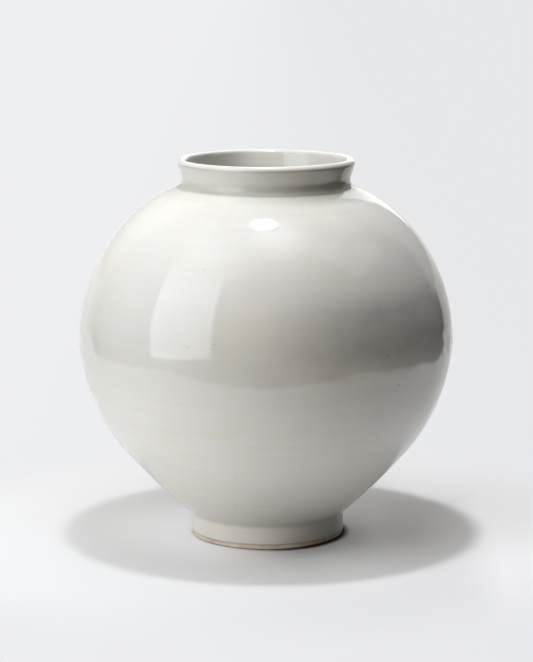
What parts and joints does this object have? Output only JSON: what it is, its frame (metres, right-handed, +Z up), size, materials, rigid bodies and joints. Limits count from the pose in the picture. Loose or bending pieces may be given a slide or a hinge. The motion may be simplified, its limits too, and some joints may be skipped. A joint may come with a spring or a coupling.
{
  "type": "moon jar",
  "caption": "Large round white-glazed porcelain storage jar, made of two thrown bowls joined at the belly, with a leaning rounded collar and a turned foot ring.",
  "frame": {"origin": "centre of the foot ring's underside, on the surface that the jar stands on", "axes": "+Z up along the jar's axis, out through the mouth; X and Y are alike, because the jar is turned"},
  "size_m": [0.442, 0.442, 0.45],
  "materials": {
    "bare_clay": "unglazed porcelain, fired to a pale tan, dry and finely grained, with a thin brown line where the glaze ends",
    "white_clay": "fired porcelain body under the glaze, off-white",
    "white_glaze": "clear glossy glaze over white clay, milky off-white with faint throwing lines and a few small iron specks"
  },
  "bodies": {
    "root": {"foot_ring": "bare_clay", "lower_bowl": "white_clay", "luting_band": "white_clay", "upper_bowl": "white_clay", "mouth_collar": "white_clay", "outer_glaze": "white_glaze", "inner_glaze": "white_glaze", "foot_well_glaze": "white_glaze"}
  },
  "joints": []
}
